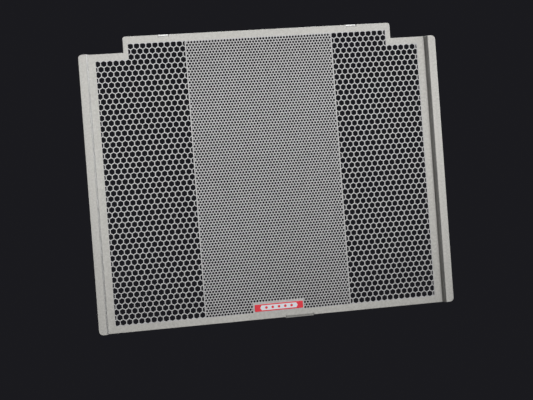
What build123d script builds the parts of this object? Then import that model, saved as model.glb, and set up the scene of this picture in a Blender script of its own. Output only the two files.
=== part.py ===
from build123d import *
import os

# Radiator guard for a motorcycle: one thin stainless sheet, perforated with hexagons in three
# fields, stepped forward to a flange along both sides and bent back into three small hooks.
# Frame: X across, Y to the rear, Z up. The origin is the middle of the panel's back face,
# which lies against the radiator.

os.makedirs("parts", exist_ok=True)

# Sheet
sheet = 0.8
bend_radius = 0.8

# Outline, seen from the front
body_height = 268.8
recess_width = 341.0
step_depth = 6.7
flange_width = 9.2
flange_corner = 4.0
head_width = 270.0
head_rise = 15.5
head_corner = 2.5

# Hooks: each bend starts at the sheet's edge, so the edge needs no relief beside it
hook_bend_radius = 0.3
hook_depth = 8.0
hook_corner = 1.5
top_hook_width = 10.0
top_hook_spacing = 190.0
bottom_hook_width = 28.0
bottom_hook_offset = 21.0

# Perforated fields: the plain borders round them, and the strip between fine and coarse
border = 7.3
side_border = 8.3
head_side_border = 5.0
fine_width = 146.2
field_strip = 1.0

# Hexagons: the real pitches, and the webs between two holes. All the real holes would make a
# very heavy solid, so the pattern is drawn hole_scale times as large, with the same open share.
# A hole_scale of 1 draws every hole. Least_share is what a border has to leave of an opening.
coarse_pitch = 6.0
coarse_web = 0.85
fine_pitch = 3.0
fine_web = 0.8
hole_scale = 4.4
least_share = 0.25

# Badge, and the plain pad that the fine field leaves for it
badge_width = 49.0
badge_height = 7.0
badge_thickness = 0.5
badge_corner = 0.8
badge_edge = 0.2
badge_lift = 0.4
badge_pad = 1.2

# Places that follow from the sizes above
body_top = body_height / 2
head_top = body_top + head_rise
field_bottom = border - body_top
field_side = recess_width / 2 - side_border
head_field_side = head_width / 2 - head_side_border
coarse_inner = fine_width / 2 + field_strip
hook_outer = hook_bend_radius + sheet
badge_pad_top = field_bottom + badge_lift + badge_height + badge_pad
front_face = Plane.XZ.offset(sheet)


def honeycomb(pitch, web, width, height):
    """Openings in staggered rows, points up, over a width and a height about the origin.

    The rows are two square-cornered grids, set half a step and one row apart.
    """
    step = pitch * hole_scale
    row = step * 3**0.5 / 2
    columns = 2 * int(width / step / 2) + 4
    rows = 2 * int(height / row / 4) + 3
    with Locations((-step / 4, -row / 2), (step / 4, row / 2)):
        with GridLocations(step, 2 * row, columns, rows):
            RegularPolygon((pitch - web) * hole_scale / 2, 6, major_radius=False, rotation=30)


def big_enough(openings, pitch, web):
    """The openings that keep enough of their hexagon inside the border of the field."""
    hexagon = ((pitch - web) * hole_scale) ** 2 * 3**0.5 / 2
    return openings.faces().filter_by(lambda face: face.area > least_share * hexagon)


# Openings of the two coarse fields, which reach up beside the fine one into the head
with BuildSketch() as coarse_openings:
    with Locations(((coarse_inner + field_side) / 2, 0)):
        honeycomb(coarse_pitch, coarse_web, field_side - coarse_inner, 2 * head_top)
    with BuildSketch(mode=Mode.INTERSECT):
        with BuildLine():
            Polyline(
                (coarse_inner, field_bottom),
                (field_side, field_bottom),
                (field_side, body_top - border),
                (head_field_side, body_top - border),
                (head_field_side, head_top - border),
                (coarse_inner, head_top - border),
                close=True,
            )
        make_face()
    mirror(about=Plane.YZ)

# Openings of the fine field, less the badge's pad
with BuildSketch() as fine_openings:
    honeycomb(fine_pitch, fine_web, fine_width, 2 * head_top)
    with Locations((0, field_bottom)):
        Rectangle(
            fine_width,
            head_top - border - field_bottom,
            align=(Align.CENTER, Align.MIN),
            mode=Mode.INTERSECT,
        )
        Rectangle(
            badge_width + 2 * badge_pad,
            badge_pad_top - field_bottom,
            align=(Align.CENTER, Align.MIN),
            mode=Mode.SUBTRACT,
        )

with BuildPart() as guard_sheet:
    # Folded sides, drawn from above along the front: bend, step wall, bend, flange
    with BuildSketch(Plane.XY.offset(-body_top)):
        with BuildLine():
            inner_bend = JernArc(
                start=(recess_width / 2 - bend_radius, -sheet),
                tangent=(1, 0),
                radius=bend_radius,
                arc_size=-90,
            )
            wall = Line(inner_bend @ 1, (recess_width / 2, bend_radius - step_depth))
            outer_bend = JernArc(wall @ 1, tangent=(0, -1), radius=bend_radius + sheet, arc_size=90)
            Line(outer_bend @ 1, (recess_width / 2 + flange_width, -sheet - step_depth))
            offset(amount=sheet, side=Side.LEFT)
        make_face()
        mirror(about=Plane.YZ)
    extrude(amount=body_height)
    flange_ends = guard_sheet.edges().filter_by(Axis.Y).group_by(Axis.X)
    fillet(flange_ends[0] + flange_ends[-1], flange_corner)

    # Two hooks bent back over the top edge
    with BuildSketch(
        Plane.YZ.offset(-top_hook_spacing / 2), Plane.YZ.offset(top_hook_spacing / 2)
    ):
        with BuildLine():
            bend = JernArc((-sheet, head_top), tangent=(0, 1), radius=hook_outer, arc_size=-90)
            Line(bend @ 1, (hook_depth, head_top + hook_outer))
            offset(amount=sheet, side=Side.RIGHT)
        make_face()
    extrude(amount=top_hook_width / 2, both=True)

    # One wider hook under the bottom edge, off the middle
    with BuildSketch(Plane.YZ.offset(bottom_hook_offset)):
        with BuildLine():
            bend = JernArc((-sheet, -body_top), tangent=(0, -1), radius=hook_outer, arc_size=90)
            Line(bend @ 1, (hook_depth, -body_top - hook_outer))
            offset(amount=sheet, side=Side.LEFT)
        make_face()
    extrude(amount=bottom_hook_width / 2, both=True)
    fillet(guard_sheet.edges().filter_by(Axis.Z).group_by(Axis.Y)[-1], hook_corner)

    # Perforated panel with the head above its shoulders, which joins the folds and the hooks
    with BuildSketch(front_face) as panel:
        Rectangle(recess_width - 2 * bend_radius, body_height)
        with Locations((0, body_top)):
            Rectangle(head_width, head_rise, align=(Align.CENTER, Align.MIN))
        fillet(panel.vertices().group_by(Axis.Y)[-1], head_corner)
        add(big_enough(coarse_openings, coarse_pitch, coarse_web), mode=Mode.SUBTRACT)
        add(big_enough(fine_openings, fine_pitch, fine_web), mode=Mode.SUBTRACT)
    extrude(amount=-sheet, clean=False)

guard_sheet.part.label = "guard_sheet"
export_step(guard_sheet.part, "parts/guard_sheet.step")

with BuildPart() as badge_plate:
    with BuildSketch(front_face):
        with Locations((0, field_bottom + badge_lift + badge_height / 2)):
            RectangleRounded(badge_width, badge_height, badge_corner)
    extrude(amount=badge_thickness)
    chamfer(badge_plate.faces().sort_by(Axis.Y)[0].edges(), badge_edge)

badge_plate.part.label = "badge_plate"
export_step(badge_plate.part, "parts/badge_plate.step")
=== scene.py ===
"""A motorcycle radiator guard: one etched stainless sheet, folded from a flat blank, and its badge."""

import math

import bpy
import numpy as np
from mathutils import Matrix, Vector
from mathutils.geometry import delaunay_2d_cdt


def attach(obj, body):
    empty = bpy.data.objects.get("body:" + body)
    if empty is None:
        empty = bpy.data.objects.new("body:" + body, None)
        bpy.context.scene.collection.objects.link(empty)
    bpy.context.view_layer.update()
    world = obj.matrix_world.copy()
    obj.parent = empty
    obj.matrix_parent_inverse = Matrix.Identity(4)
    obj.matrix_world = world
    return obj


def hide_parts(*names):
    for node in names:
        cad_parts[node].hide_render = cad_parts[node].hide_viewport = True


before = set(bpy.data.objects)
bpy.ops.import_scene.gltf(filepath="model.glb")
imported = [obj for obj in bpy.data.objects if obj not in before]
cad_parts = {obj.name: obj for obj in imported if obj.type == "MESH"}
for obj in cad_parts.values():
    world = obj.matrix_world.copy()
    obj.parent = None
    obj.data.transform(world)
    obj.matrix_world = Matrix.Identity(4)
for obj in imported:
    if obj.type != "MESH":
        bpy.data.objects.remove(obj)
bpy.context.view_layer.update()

MM = 0.001
ROOT_3 = math.sqrt(3)
QUARTER_TURN = math.pi / 2

# Sheet and folds, in millimetres and degrees
SHEET = 0.8
FOOT_RADIUS = 1.2
LIP_RADIUS = 1.6
BODY_TOP = 134.4
RECESS = 170.5
STEP_DEPTH = 6.7
FLANGE_WIDTH = 9.2
FLANGE_CORNER = 4.0
HEAD_HALF = 135.0
HEAD_TOP = 149.9
HEAD_CORNER = 2.5
NOTCH_CORNER = 0.5
EDGE_ROUND = 0.2
EDGE_ROUND_STOP = 45
SHARP_EDGE = 20

# Hooks, and the narrow relief slots beside them
HOOK_BEND_RADIUS = 1.6
HOOK_DEPTH = 8.0
HOOK_CORNER = 1.5
HOOK_TOP = 150.2
HOOK_BOTTOM = -135.5
RELIEF = 0.25
RELIEF_DEPTH = 0.2
RELIEF_CORNER = 0.05
RELIEF_MOUTH = 0.35
TOP_HOOK = 95.0
TOP_HOOK_HALF = 5.0
BOTTOM_HOOK = 21.0
BOTTOM_HOOK_HALF = 14.0

# The middle of the sheet's thickness, unrolled: where each straight run and each bend starts
FOOT_BEND = FOOT_RADIUS + SHEET / 2
LIP_BEND = LIP_RADIUS + SHEET / 2
FOOT = RECESS - FOOT_RADIUS
WALL = FOOT + FOOT_BEND * QUARTER_TURN
LIP = WALL + STEP_DEPTH - FOOT_BEND - LIP_BEND
FLANGE = LIP + LIP_BEND * QUARTER_TURN
BLANK_SIDE = FLANGE + FLANGE_WIDTH - SHEET / 2 - LIP_BEND
HOOK_BEND = HOOK_BEND_RADIUS + SHEET / 2
HOOK_BEND_RUN = HOOK_BEND * QUARTER_TURN
HOOK_RUN = HOOK_BEND_RUN + HOOK_DEPTH - HOOK_BEND_RADIUS
TOP_FOLD = HOOK_TOP - SHEET - HOOK_BEND_RADIUS
BOTTOM_FOLD = HOOK_BOTTOM + SHEET + HOOK_BEND_RADIUS

# Flat strips beside the bends, which keep a bend's soft shade near it
SIDE_FOLD_MARGIN = 2
HOOK_FOLD_MARGIN = 1

# Perforated fields, in millimetres: the borders, a shift of all the upright ones, the honeycombs,
# the least area that a border leaves of a hole, and the badge's plain pad
FIELD_BOTTOM = -127.4
FIELD_SHOULDER = 127.4
FIELD_TOP = 142.6
FIELD_SIDE = 162.2
HEAD_FIELD_SIDE = 130.0
FINE_SIDE = 73.1
COARSE_INNER = 74.1
FIELD_SHIFT = -0.2
FIELD_MARGIN = 1
COARSE_PITCH = 6.0
COARSE_WEB = 0.85
FINE_PITCH = 3.0
FINE_WEB = 0.8
PATTERN_REACH = 400
ROW_START_X = 1.3
FINE_ROW_Z = 0.785
COARSE_ROW_Z = 0.0
LEAST_HOLE = 0.5
PAD_SIDE = 26.0
PAD_TOP = -117.45

# Map of the sheet, in millimetres of the blank: its margins, and the strips beside the edges
MAP_SPARE = 50
MAP_MARGIN = 12
MAP_GAP = 22
HOLE_STRIP = 1.0
HOLE_STRIP_SHARE = 0.35
SLOT_STRIP_SHARE = 0.15
OUTLINE_STRIPS = (0, 0.4, 0.8, 1.8, 2.2, 2.6)

# Steel: the darkest and lightest tone of the plain borders, and of the webs, whose cooler tint is a
# painted reflection of the cool lamps on the holes' edges
BORDER_TONES = ((0.53, 0.522, 0.498, 1), (0.70, 0.692, 0.662, 1))
WEB_GLINT_TONES = ((0.52, 0.517, 0.521, 1), (0.686, 0.685, 0.692, 1))

# Badge's print, in millimetres from its middle and degrees: a pair is where an edge starts and ends
BADGE_Z = -123.2
BAR_HALF_HEIGHT = (2.35, 2.5)
BAR_HALF_WIDTH = (18.9, 19.1)
BAR_END_ANGLE = 30
MARK_SPACING = 6.4
MARK_HALF_WIDTH = (1.2, 1.35)
MARK_ROW_HALF = (15.0, 15.1)

# Badge's colours
RED_TONES = ((0.76, 0.024, 0.044, 1), (0.86, 0.032, 0.056, 1))
PALE_TONE = (0.77, 0.79, 0.84, 1)

# Floor, in metres, and the tone of the dark room round it
FLOOR_LEVEL = -0.60
# From FLOOR_FADE out to FLOOR_RADIUS the floor's grey falls off into the room's tone: a painted pool
# of light.
FLOOR_FADE = 0.4
FLOOR_RADIUS = 0.95
FLOOR_RINGS = 24
FLOOR_SPOKES = 96
FLOOR_TONE = (0.34, 0.34, 0.333, 1)
ROOM_TONE = (0.0105, 0.0105, 0.0130, 1)

# Light that comes from all round, and lamp colours
AIR_TONE = (0.98, 0.99, 1.0, 1)
WARM = (1.0, 0.995, 0.98)
COOL = (0.95, 0.965, 1.0)

# Camera: pixels of the photograph, the sensor's width in millimetres, and places in metres
PHOTO_WIDTH = 533
FOCAL_LENGTH = 1552.2
SENSOR_WIDTH = 36.0
CAMERA_PLACE = (-0.3543, -1.4874, 0.0129)
CAMERA_RIGHT = (0.97041, -0.22982, -0.07408)
CAMERA_UP = (0.07671, 0.00250, 0.99705)
NEAREST_SEEN = 0.05


def hole_rows(pitch, start_z):
    """Hole centres of a honeycomb.

    Rows lie root three halves of a pitch apart, and every second row is half a pitch along.
    """
    reach = int(PATTERN_REACH / pitch)
    along, row = np.meshgrid(np.arange(-reach, reach + 1), np.arange(-reach, reach + 1))
    x = ROW_START_X + pitch * (along + (row % 2) / 2)
    z = start_z - pitch * ROOT_3 / 2 * row
    return np.column_stack([x.ravel(), z.ravel()])


def hexagons(centres, across):
    """Six corners about each centre, points up: the outer radius at 30 degrees and every 60 on."""
    turn = np.radians(30 + 60 * np.arange(6))
    return centres[:, None] + across / ROOT_3 * np.stack([np.cos(turn), np.sin(turn)], axis=-1)


def trimmed(shapes, axis, limits, side):
    """Convex outlines cut off at a straight border, each at its own limit along one axis.

    Every corner is doubled. A corner beyond the border slides back along its two sides to where
    they cross the border, one copy along each. A corner with no side that crosses goes to where
    the outline leaves the border.
    """
    beyond = side * (shapes[..., axis] - limits[:, None])
    out = beyond > 0
    copies = []
    for turn in (1, -1):
        other = np.roll(shapes, turn, axis=1)
        other_beyond = np.roll(beyond, turn, axis=1)
        crosses = out & (other_beyond <= 0)
        share = np.where(crosses, beyond / np.where(crosses, beyond - other_beyond, 1), 0)
        copies.append((shapes + share[..., None] * (other - shapes), crosses))
    (first, leaves), (second, enters) = copies
    leaving = first[np.arange(len(shapes)), np.argmax(leaves, axis=1)][:, None]
    first = np.where((out & ~leaves)[..., None], leaving, first)
    second = np.where((out & ~enters)[..., None], leaving, second)
    return np.stack([first, second], axis=2).reshape(len(shapes), -1, 2)


def areas(shapes):
    """Area of each outline, half the sum of its corners' cross products."""
    after = np.roll(shapes, -1, axis=1)
    cross = shapes[..., 0] * after[..., 1] - after[..., 0] * shapes[..., 1]
    return 0.5 * np.abs(np.sum(cross, axis=1))


def holes_in(centres, across, low_x, high_x, low_z, high_z):
    """Hexagons about the centres, each cut to the borders of its own box.

    The whole ones come first. A hexagon that a border crosses is trimmed at each border in turn,
    and dropped where too little of it is left.
    """
    half = across / 2
    radius = across / ROOT_3
    near = (
        (centres[:, 0] + half > low_x)
        & (centres[:, 0] - half < high_x)
        & (centres[:, 1] + radius > low_z)
        & (centres[:, 1] - radius < high_z)
    )
    whole = (
        (centres[:, 0] - half >= low_x)
        & (centres[:, 0] + half <= high_x)
        & (centres[:, 1] - radius >= low_z)
        & (centres[:, 1] + radius <= high_z)
    )
    shapes = hexagons(centres, across)
    crossed = near & ~whole
    cut = shapes[crossed]
    for axis, limits, side in ((0, high_x, 1), (0, low_x, -1), (1, high_z, 1), (1, low_z, -1)):
        cut = trimmed(cut, axis, np.broadcast_to(limits, near.shape)[crossed], side)
    return [*shapes[whole], *cut[areas(cut) > LEAST_HOLE]]


def fine_holes():
    """The middle field's holes: beside the badge's pad the rows stop at the pad's sides."""
    centres = hole_rows(FINE_PITCH, FINE_ROW_Z)
    low_row = centres[:, 1] < PAD_TOP
    right = centres[:, 0] > 0
    return holes_in(
        centres,
        FINE_PITCH - FINE_WEB,
        np.where(low_row & right, PAD_SIDE, -FINE_SIDE) + FIELD_SHIFT,
        np.where(low_row & ~right, -PAD_SIDE, FINE_SIDE) + FIELD_SHIFT,
        FIELD_BOTTOM,
        FIELD_TOP,
    )


def coarse_holes():
    """The two side fields' holes: in the head the rows stop nearer the middle than below it."""
    centres = hole_rows(COARSE_PITCH, COARSE_ROW_Z)
    in_head = centres[:, 1] > FIELD_SHOULDER
    outer = np.where(in_head, HEAD_FIELD_SIDE, FIELD_SIDE)
    right = centres[:, 0] > 0
    under_head = in_head | (np.abs(centres[:, 0]) < HEAD_FIELD_SIDE)
    return holes_in(
        centres,
        COARSE_PITCH - COARSE_WEB,
        np.where(right, COARSE_INNER, -outer) + FIELD_SHIFT,
        np.where(right, outer, -COARSE_INNER) + FIELD_SHIFT,
        FIELD_BOTTOM,
        np.where(under_head, FIELD_TOP, FIELD_SHOULDER),
    )


def folded(across, up):
    """Places and forward normals of points on the flat blank once it is folded.

    Across runs over the panel, round the foot bend, up the step wall, round the lip bend and out
    along the flange, the same on both sides. On a hook's strip, up runs round the hook's bend and
    straight to the rear. Round a bend, the turn is the run over the bend's radius, and the place
    is that radius times the turn's sine and one less its cosine.
    """
    side = np.sign(across)
    run = np.abs(across)
    foot = np.clip((run - FOOT) / FOOT_BEND, 0, QUARTER_TURN)
    lip = np.clip((run - LIP) / LIP_BEND, 0, QUARTER_TURN)
    wall = np.clip(run - WALL, 0, LIP - WALL)
    x = np.minimum(run, FOOT) + FOOT_BEND * np.sin(foot)
    x = x + LIP_BEND * (1 - np.cos(lip)) + np.maximum(run - FLANGE, 0)
    y = -SHEET / 2 - FOOT_BEND * (1 - np.cos(foot)) - wall - LIP_BEND * np.sin(lip)
    lean = foot - lip

    on_top = np.abs(run - TOP_HOOK) < TOP_HOOK_HALF + RELIEF / 2
    on_bottom = np.abs(across - BOTTOM_HOOK) < BOTTOM_HOOK_HALF + RELIEF / 2
    over_top = np.where(on_top, np.maximum(up - TOP_FOLD, 0), 0)
    over_bottom = np.where(on_bottom, np.maximum(BOTTOM_FOLD - up, 0), 0)
    over = over_top + over_bottom
    hook = np.clip(over / HOOK_BEND, 0, QUARTER_TURN)
    y = y + HOOK_BEND * (1 - np.cos(hook)) + np.maximum(over - HOOK_BEND_RUN, 0)
    fold = np.where(up > 0, TOP_FOLD, BOTTOM_FOLD)
    z = np.where(over > 0, fold + np.sign(up) * HOOK_BEND * np.sin(hook), up)

    normal_x = -side * np.sin(lean)
    normal_y = -np.cos(lean) * np.cos(hook)
    normal_z = np.sign(up) * np.sin(hook)
    return np.column_stack([side * x, y, z]), np.column_stack([normal_x, normal_y, normal_z])


def rounded_outline(corners, radii, inset, steps=6):
    """A right-angled outline, anticlockwise, with round corners, drawn inside itself by an inset.

    Each side moves in along its left normal, so a corner moves along both. A corner that turns
    left loses the inset from its radius and one that turns right gains it. The corner becomes a
    quarter circle about a centre that lies one radius along both of its sides.
    """
    back = np.roll(corners, 1, axis=0) - corners
    ahead = np.roll(corners, -1, axis=0) - corners
    back = back / np.linalg.norm(back, axis=1, keepdims=True)
    ahead = ahead / np.linalg.norm(ahead, axis=1, keepdims=True)
    turns_left = np.sign(ahead[:, 0] * back[:, 1] - ahead[:, 1] * back[:, 0])
    left_normals = np.stack([back[:, 1] - ahead[:, 1], ahead[:, 0] - back[:, 0]], axis=1)
    corners = corners + inset * left_normals
    radii = (radii - turns_left * inset)[:, None]
    turn = np.linspace(0, QUARTER_TURN, steps + 1)[None, :, None]
    spokes = ahead[:, None] * np.cos(turn) + back[:, None] * np.sin(turn)
    arcs = (corners + radii * (back + ahead))[:, None] - radii[:, None] * spokes
    return arcs.reshape(-1, 2)


def hook_tongue(middle, half, edge, fold, way):
    """Corners of a hook's strip on the blank.

    They go down a relief slot in the sheet's edge, out to the strip's end, back and up the other
    slot. Way is 1 for a strip at the top and -1 for one at the bottom.
    """
    root = fold - way * RELIEF_DEPTH
    reach = fold + way * HOOK_RUN
    inner = way * half
    outer = way * (half + RELIEF)
    return [
        (middle + outer, edge, RELIEF_MOUTH),
        (middle + outer, root, RELIEF_CORNER),
        (middle + inner, root, RELIEF_CORNER),
        (middle + inner, reach, HOOK_CORNER),
        (middle - inner, reach, HOOK_CORNER),
        (middle - inner, root, RELIEF_CORNER),
        (middle - outer, root, RELIEF_CORNER),
        (middle - outer, edge, RELIEF_MOUTH),
    ]


def blank_outline(inset):
    """The flat blank's outline, anticlockwise from the lower left, with the three hook strips."""
    corners = np.array(
        [
            (-BLANK_SIDE, -BODY_TOP, FLANGE_CORNER),
            *hook_tongue(BOTTOM_HOOK, BOTTOM_HOOK_HALF, -BODY_TOP, BOTTOM_FOLD, -1),
            (BLANK_SIDE, -BODY_TOP, FLANGE_CORNER),
            (BLANK_SIDE, BODY_TOP, FLANGE_CORNER),
            (HEAD_HALF, BODY_TOP, NOTCH_CORNER),
            (HEAD_HALF, HEAD_TOP, HEAD_CORNER),
            *hook_tongue(TOP_HOOK, TOP_HOOK_HALF, HEAD_TOP, TOP_FOLD, 1),
            *hook_tongue(-TOP_HOOK, TOP_HOOK_HALF, HEAD_TOP, TOP_FOLD, 1),
            (-HEAD_HALF, HEAD_TOP, HEAD_CORNER),
            (-HEAD_HALF, BODY_TOP, NOTCH_CORNER),
            (-BLANK_SIDE, BODY_TOP, FLANGE_CORNER),
        ]
    )
    return rounded_outline(corners[:, :2], corners[:, 2], inset)


def fold_lines(steps=6):
    """Lines across the blank along which it may turn, as pairs of ends.

    Each bend has a line at its start, at its end and at even runs between them, and one on the
    flat beside it.
    """
    foot = np.linspace(FOOT, WALL, steps + 1)
    lip = np.linspace(LIP, FLANGE, steps + 1)
    bends = np.concatenate([[FOOT - SIDE_FOLD_MARGIN], foot, lip, [FLANGE + SIDE_FOLD_MARGIN]])
    bends = np.concatenate([-bends, bends])
    ends = np.full(len(bends), BODY_TOP)
    upright = np.stack([np.column_stack([bends, -ends]), np.column_stack([bends, ends])], axis=1)

    bend = np.linspace(0, HOOK_BEND_RUN, steps + 1)
    rise = np.concatenate([[-HOOK_FOLD_MARGIN], bend, [HOOK_BEND_RUN + HOOK_FOLD_MARGIN]])
    spare = np.where(rise < 0, 2 * RELIEF, RELIEF / 2)
    hooks = (
        (-TOP_HOOK, TOP_HOOK_HALF, TOP_FOLD, 1),
        (TOP_HOOK, TOP_HOOK_HALF, TOP_FOLD, 1),
        (BOTTOM_HOOK, BOTTOM_HOOK_HALF, BOTTOM_FOLD, -1),
    )
    level = []
    for middle, half, fold, way in hooks:
        left = np.column_stack([middle - (half + spare), fold + way * rise])
        right = np.column_stack([middle + (half + spare), fold + way * rise])
        level.append(np.stack([left, right], axis=1))
    return np.concatenate([upright, *level])


def split_blank():
    """Corners and triangles of the flat blank less its holes, split along the fold lines."""
    loops = [blank_outline(EDGE_ROUND), *fine_holes(), *coarse_holes()]
    lines = fold_lines()
    counts = np.array([len(loop) for loop in loops])
    starts = np.concatenate([[0], np.cumsum(counts)])
    points = np.concatenate([*loops, lines.reshape(-1, 2)])
    creases = (starts[-1] + np.arange(2 * len(lines))).reshape(-1, 2)
    rings = [list(range(start, start + count)) for start, count in zip(starts, counts)]
    inside_only = 1
    same_point = 1e-5
    flat, _, triangles, _, _, owners = delaunay_2d_cdt(
        points.tolist(), creases.tolist(), rings, inside_only, same_point
    )
    triangles = np.array(triangles)[np.array([owner == [0] for owner in owners])]
    used, triangles = np.unique(triangles, return_inverse=True)
    return np.array(flat)[used], triangles.reshape(-1, 3)


def rim_edges(triangles, count):
    """Edges that only one triangle has, in that triangle's own direction."""
    edges = np.concatenate([triangles[:, [0, 1]], triangles[:, [1, 2]], triangles[:, [2, 0]]])
    code = edges.min(axis=1) * count + edges.max(axis=1)
    _, group, times = np.unique(code, return_inverse=True, return_counts=True)
    return edges[times[group] == 1]


def off_fields(flat):
    """Which corners lie clear of the perforated fields, where a rim is the sheet's outline."""
    side = np.abs(flat[:, 0])
    z = flat[:, 1]
    clear = (side > FIELD_SIDE + FIELD_MARGIN) | (z < FIELD_BOTTOM - FIELD_MARGIN)
    clear |= z > FIELD_TOP + FIELD_MARGIN
    clear |= (side > HEAD_FIELD_SIDE + FIELD_MARGIN) & (z > FIELD_SHOULDER + FIELD_MARGIN)
    return clear


def outward(flat, rim):
    """How far each corner on a rim moves for each millimetre that its edges move off the sheet.

    It is the sum of the two edges' right normals, over one plus their dot product.
    """
    along = flat[rim[:, 1]] - flat[rim[:, 0]]
    length = np.linalg.norm(along, axis=1, keepdims=True)
    normals = np.stack([along[:, 1], -along[:, 0]], axis=1) / length
    leaving = np.zeros_like(flat)
    leaving[rim[:, 0]] = normals
    arriving = np.zeros_like(flat)
    arriving[rim[:, 1]] = normals
    return (leaving + arriving) / (1 + np.sum(leaving * arriving, axis=1, keepdims=True))


def edge_rounds():
    """The outline's wall from front to back: how far it reaches out, and its height.

    Heights count from the middle of the sheet. Each side has a quarter round, given at a stop on
    the way and at its end: out by the round times the sine, and in from the face by the round
    times one less the cosine.
    """
    stop = math.radians(EDGE_ROUND_STOP)
    front = [
        (EDGE_ROUND * math.sin(stop), SHEET / 2 - EDGE_ROUND * (1 - math.cos(stop))),
        (EDGE_ROUND, SHEET / 2 - EDGE_ROUND),
    ]
    return front + [(reach, -height) for reach, height in front[::-1]]


def quads(upper, lower):
    """A strip between two rows of edges: each edge backwards above, then forwards below."""
    return np.stack([upper[:, 1], upper[:, 0], lower[:, 0], lower[:, 1]], axis=1)


def sheet_map(flat, triangles, walls, border, out):
    """Places on the map for the corners of every face of the guard.

    The front and the back lie flat, one over the other. The strips along the edges lie in the
    gaps beside the front, less wide where a hole's edge is short or a relief slot is narrow.
    """
    side = 2 * (BODY_TOP + HEAD_TOP) + MAP_SPARE
    front = (flat + (side / 2, BODY_TOP + MAP_MARGIN)) / side
    back = front + (0, (BODY_TOP + HEAD_TOP + MAP_GAP) / side)
    length = np.linalg.norm(flat[walls[:, 1]] - flat[walls[:, 0]], axis=1)
    into_hole = np.minimum(HOLE_STRIP, HOLE_STRIP_SHARE * length)[:, None, None] / side
    parts = [front[triangles], back[triangles[:, ::-1]]]
    parts.append(quads(front[walls], front[walls] + into_hole * out[walls]))

    from_top = np.abs(np.abs(np.abs(flat[:, 0]) - TOP_HOOK) - TOP_HOOK_HALF)
    from_bottom = np.abs(np.abs(flat[:, 0] - BOTTOM_HOOK) - BOTTOM_HOOK_HALF)
    slot = (from_top < 2 * RELIEF) & (flat[:, 1] > TOP_FOLD - HOOK_FOLD_MARGIN)
    slot |= (from_bottom < 2 * RELIEF) & (flat[:, 1] < BOTTOM_FOLD + HOOK_FOLD_MARGIN)
    spread = np.where(slot, SLOT_STRIP_SHARE, 1)[:, None] * out / side
    beside = [front + spread * reach for reach in OUTLINE_STRIPS]
    parts += [quads(upper[border], lower[border]) for upper, lower in zip(beside, beside[1:])]
    return np.concatenate([part.reshape(-1, 2) for part in parts])


def folded_sheet():
    """Corners, faces and map of the whole guard.

    The split blank is folded. Half a thickness along the normals gives the front, the other half
    the back. A strip joins them along every edge that only one triangle has: one plain wall in a
    hole, and a wall with a quarter round on both sides along the outline.
    """
    flat, triangles = split_blank()
    count = len(flat)
    rim = rim_edges(triangles, count)
    out = outward(flat, rim)
    on_outline = off_fields(flat)[rim].all(axis=1)
    walls = rim[~on_outline]
    border = rim[on_outline]
    ends = np.unique(border)
    along = np.searchsorted(ends, border)

    rounds = edge_rounds()
    layers = [(flat, SHEET / 2), (flat, -SHEET / 2)]
    layers += [(flat[ends] + reach * out[ends], height) for reach, height in rounds]
    corners = []
    for spread, height in layers:
        place, normal = folded(spread[:, 0], spread[:, 1])
        corners.append((place + height * normal) * MM)

    between = [2 * count + step * len(ends) + along for step in range(len(rounds))]
    rows = [border, *between, border + count]
    strips = [quads(walls, walls + count)]
    strips += [quads(upper, lower) for upper, lower in zip(rows, rows[1:])]
    turned = triangles[:, ::-1] + count
    faces = [*triangles.tolist(), *turned.tolist(), *np.concatenate(strips).tolist()]
    return np.concatenate(corners), faces, sheet_map(flat, triangles, walls, border, out)


def piece(name, corners, faces, material):
    """A mesh object at the origin with its faces shaded smooth over bends and sharp at edges."""
    mesh = bpy.data.meshes.new(name)
    mesh.from_pydata(corners.tolist(), [], faces)
    mesh.shade_smooth()
    mesh.set_sharp_from_angle(angle=math.radians(SHARP_EDGE))
    mesh.materials.append(material)
    made = bpy.data.objects.new(name, mesh)
    bpy.context.scene.collection.objects.link(made)
    return made


def feed(node, values):
    """Sets named or numbered sockets of a node to plain values, or links them to wires."""
    for key, value in values.items():
        if isinstance(value, Wire):
            node.id_data.links.new(value.socket, node.inputs[key])
        else:
            node.inputs[key].default_value = value


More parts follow.
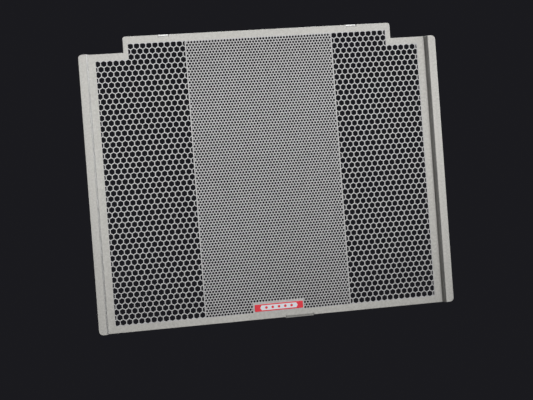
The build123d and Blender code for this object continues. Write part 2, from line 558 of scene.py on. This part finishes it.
class Wire:
    """A node's output, so that a pattern's sums and products are written as plain arithmetic."""

    def __init__(self, socket):
        self.socket = socket

    def node(self, kind, values, out=0, **settings):
        """One output of a new node: its settings are set first, and then its sockets are fed."""
        made = self.socket.id_data.nodes.new(kind)
        for key, value in settings.items():
            setattr(made, key, value)
        feed(made, values)
        return Wire(made.outputs[out])

    def math(self, operation, *others):
        """This value and others through a Math node."""
        sockets = dict(enumerate((self, *others)))
        return self.node("ShaderNodeMath", sockets, operation=operation)

    def math_after(self, operation, other):
        """A plain number and then this value through a Math node."""
        return self.node("ShaderNodeMath", {0: other, 1: self}, operation=operation)

    def __add__(self, other):
        return self.math("ADD", other)

    __radd__ = __add__

    def __mul__(self, other):
        return self.math("MULTIPLY", other)

    __rmul__ = __mul__

    def __sub__(self, other):
        return self.math("SUBTRACT", other)

    def __rsub__(self, other):
        return self.math_after("SUBTRACT", other)

    def __truediv__(self, other):
        return self.math("DIVIDE", other)

    def __rtruediv__(self, other):
        return self.math_after("DIVIDE", other)

    def __abs__(self):
        return self.math("ABSOLUTE")

    def larger(self, other):
        """The larger of this value and another."""
        return self.math("MAXIMUM", other)

    def ramp(self, low, high):
        """0 below low, 1 above high and a soft rise between."""
        return self.node(
            "ShaderNodeMapRange",
            {"Value": self, "From Min": low, "From Max": high},
            interpolation_type="SMOOTHSTEP",
        )

    def tint(self, first, second):
        """A colour that goes from the first to the second as this value goes from 0 to 1.

        Sockets 6 and 7 and output 2 are the ones that a Mix node has for colours.
        """
        return self.node(
            "ShaderNodeMix",
            {"Factor": self, 6: first, 7: second},
            out=2,
            data_type="RGBA",
        )

    def axis(self, name):
        """One coordinate of this place, in millimetres."""
        return self.node("ShaderNodeSeparateXYZ", {0: self}, out=name) / MM

    def noise(self, scale, detail=2.0, rough=0.5):
        """A soft random value about one half that changes with this place."""
        return self.node(
            "ShaderNodeTexNoise",
            {"Vector": self, "Scale": scale, "Detail": detail, "Roughness": rough},
        )


def finish_of(name):
    """A new material, its surface shader, and the place on the piece in metres."""
    material = bpy.data.materials.new(name)
    material.use_nodes = True
    shader = material.node_tree.nodes["Principled BSDF"]
    place = Wire(shader.outputs[0]).node("ShaderNodeTexCoord", {}, out="Object")
    return material, shader, place


def etched_steel():
    """Satin stainless with a wide cloud, a fine mottle and a finer grain.

    Cloud and mottle set the tone. All three add to the roughness, and mottle and grain make the
    bumps. The webs between the holes are tinted a shade cooler than the plain borders: a painted
    reflection, standing in for cool lamp glints on rounded hole edges that the mesh does not have.
    """
    material, shader, place = finish_of("etched_steel")
    x = abs(place.axis("X"))
    z = place.axis("Z")
    beside_head = x.ramp(HEAD_FIELD_SIDE, HEAD_FIELD_SIDE + FIELD_MARGIN)
    over_shoulder = z.ramp(FIELD_SHOULDER, FIELD_SHOULDER + FIELD_MARGIN)
    across = (1 - x.ramp(FIELD_SIDE, FIELD_SIDE + FIELD_MARGIN)) * (1 - beside_head * over_shoulder)
    over_bottom = z.ramp(FIELD_BOTTOM - FIELD_MARGIN, FIELD_BOTTOM)
    over_top = z.ramp(FIELD_TOP, FIELD_TOP + FIELD_MARGIN)
    webs = across * over_bottom * (1 - over_top)
    cloud = place.noise(scale=9.0, detail=3.0)
    mottle = place.noise(scale=520.0, detail=3.0, rough=0.6)
    grain = place.noise(scale=1900.0)
    tone = (cloud * 0.35 + mottle * 0.65).ramp(0.28, 0.72)
    height = grain * 0.5 + mottle * 0.5
    feed(
        shader,
        {
            # The webs' cooler tones are a painted reflection of the cool lamps on the holes' edges.
            "Base Color": webs.tint(tone.tint(*BORDER_TONES), tone.tint(*WEB_GLINT_TONES)),
            "Metallic": 1.0,
            "Roughness": 0.37 + 0.10 * grain + 0.08 * mottle + 0.05 * cloud,
            "Normal": place.node(
                "ShaderNodeBump", {"Height": height, "Strength": 0.3, "Distance": 0.00005}
            ),
        },
    )
    return material


def badge_enamel():
    """Red enamel with a long pale hexagon on it, which holds a row of five small red hexagons.

    A small hexagon, points up, is where the larger of two distances is under its half width: the
    one across, and the one along 60 degrees.
    """
    material, shader, place = finish_of("badge_enamel")
    x = abs(place.axis("X"))
    z = abs(place.axis("Z") - BADGE_Z)
    slanted = x + z * math.tan(math.radians(BAR_END_ANGLE))
    bar = (1 - z.ramp(*BAR_HALF_HEIGHT)) * (1 - slanted.ramp(*BAR_HALF_WIDTH))
    step = x / MARK_SPACING
    beside = abs((step - step.math("ROUND")) * MARK_SPACING)
    hexagon = beside.larger(beside * 0.5 + z * (ROOT_3 / 2))
    marks = (1 - hexagon.ramp(*MARK_HALF_WIDTH)) * (1 - x.ramp(*MARK_ROW_HALF))
    pale = bar * (1 - marks)
    speck = place.noise(scale=900.0)
    feed(
        shader,
        {
            "Base Color": pale.tint(speck.tint(*RED_TONES), PALE_TONE),
            "Roughness": 0.22 + 0.06 * speck,
            "Coat Weight": 0.15,
            "Coat Roughness": 0.08,
            "Normal": place.node(
                "ShaderNodeBump", {"Height": pale, "Strength": 0.3, "Distance": 0.00006}
            ),
        },
    )
    return material


def floor_painted_pool():
    """Matt grey in the middle that fades, with the distance from the guard's middle, into an emission
    in the room's tone: a painted pool of light, darker towards the rim.
    """
    material, shader, place = finish_of("floor_painted_pool")
    distance = place.node("ShaderNodeVectorMath", {0: place}, out=1, operation="LENGTH")
    feed(shader, {"Base Color": FLOOR_TONE, "Roughness": 0.8})
    # Painted falloff: the floor darkens from grey to the room's tone between these two distances.
    painted_falloff = distance.ramp(
        math.hypot(FLOOR_FADE, FLOOR_LEVEL),
        math.hypot(FLOOR_RADIUS, FLOOR_LEVEL),
    )
    room = place.node("ShaderNodeEmission", {"Color": ROOM_TONE})
    both = place.node("ShaderNodeMixShader", {0: painted_falloff, 1: Wire(shader.outputs[0]), 2: room})
    feed(material.node_tree.nodes["Material Output"], {"Surface": both})
    return material


def round_floor():
    """A round floor well below the guard: rings of points at even angles about a middle point."""
    reach = np.linspace(0.0, FLOOR_RADIUS, FLOOR_RINGS + 1)[1:, None]
    turn = np.linspace(0, 2 * math.pi, FLOOR_SPOKES, endpoint=False)
    level = np.full((FLOOR_RINGS, FLOOR_SPOKES), FLOOR_LEVEL)
    grid = np.stack([reach * np.cos(turn), reach * np.sin(turn), level], axis=-1).reshape(-1, 3)
    corners = np.concatenate([grid, [[0.0, 0.0, FLOOR_LEVEL]]])
    index = np.arange(len(grid)).reshape(FLOOR_RINGS, FLOOR_SPOKES)
    after = np.roll(index, -1, axis=1)
    bands = np.stack([index[:-1], index[1:], after[1:], after[:-1]], axis=-1).reshape(-1, 4)
    fan = np.stack([np.full(FLOOR_SPOKES, len(grid)), index[0], after[0]], axis=-1)
    return piece("floor", corners, [*bands.tolist(), *fan.tolist()], floor_painted_pool())


def studio_air():
    """A soft even light that diffuse rays meet, and a dark room for the camera and reflections."""
    world = bpy.data.worlds.new("studio_air")
    bpy.context.scene.world = world
    world.use_nodes = True
    nodes = world.node_tree.nodes
    feed(nodes["Background"], {"Color": AIR_TONE, "Strength": 0.5})
    light = Wire(nodes["Background"].outputs[0])
    room = light.node("ShaderNodeBackground", {"Color": ROOM_TONE, "Strength": 1.0})
    camera_ray = light.node("ShaderNodeLightPath", {}, out="Is Camera Ray")
    glossy_ray = light.node("ShaderNodeLightPath", {}, out="Is Glossy Ray")
    seen = camera_ray.larger(glossy_ray)
    either = light.node("ShaderNodeMixShader", {0: seen, 1: light, 2: room})
    feed(nodes["World Output"], {"Surface": either})


def softbox(name, place, size, power, colour=WARM):
    """A flat soft lamp that faces the guard's middle, in metres and watts."""
    lamp = bpy.data.lights.new(name, "AREA")
    lamp.shape = "RECTANGLE"
    lamp.size, lamp.size_y = size
    lamp.energy = power
    lamp.color = colour
    made = bpy.data.objects.new(name, lamp)
    made.location = place
    aim = Vector((0, 0, 0)) - Vector(place)
    made.rotation_euler = aim.to_track_quat("-Z", "Y").to_euler()
    bpy.context.scene.collection.objects.link(made)


def photo_camera():
    """The camera that fits the hole pattern: its place, its three axes and its focal length.

    The third axis is the cross product of the first two, and the second is squared to both.
    """
    camera = bpy.data.cameras.new("photo_camera")
    camera.sensor_width = SENSOR_WIDTH
    camera.lens = FOCAL_LENGTH * SENSOR_WIDTH / PHOTO_WIDTH
    camera.clip_start = NEAREST_SEEN
    right = Vector(CAMERA_RIGHT)
    back = right.cross(Vector(CAMERA_UP))
    up = back.cross(right)
    axes = Matrix((right.normalized(), up.normalized(), back.normalized())).transposed()
    made = bpy.data.objects.new("photo_camera", camera)
    made.matrix_world = Matrix.Translation(CAMERA_PLACE) @ axes.to_4x4()
    bpy.context.scene.collection.objects.link(made)
    bpy.context.scene.camera = made


sheet_corners, sheet_faces, sheet_places = folded_sheet()
guard = piece("guard_sheet_steel", sheet_corners, sheet_faces, etched_steel())
guard.data.uv_layers.new(name="OFBake").data.foreach_set("uv", sheet_places.ravel())
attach(guard, "root")
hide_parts("guard_sheet")

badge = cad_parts["badge_plate"]
badge.data.materials.clear()
badge.data.materials.append(badge_enamel())

floor = round_floor()

studio_air()
softbox("front", (0.0, -2.09, 0.22), (0.9, 0.7), 7.0)
softbox("front_right", (0.92, -1.88, 0.22), (0.9, 0.7), 5.2)
softbox("front_left", (-1.9, -0.6, 0.9), (1.0, 1.0), 1.3)
softbox("side", (1.6, -0.02, 0.38), (1.4, 0.8), 15, COOL)
softbox("top", (0.1, -0.02, 0.8), (0.7, 0.6), 4.4, COOL)
softbox("rear_left", (-1.0, 1.7, 1.0), (1.4, 1.0), 10)
softbox("rear_right", (1.3, 1.9, 0.35), (1.8, 1.4), 18)
photo_camera()
bpy.context.scene.view_settings.view_transform = "Standard"
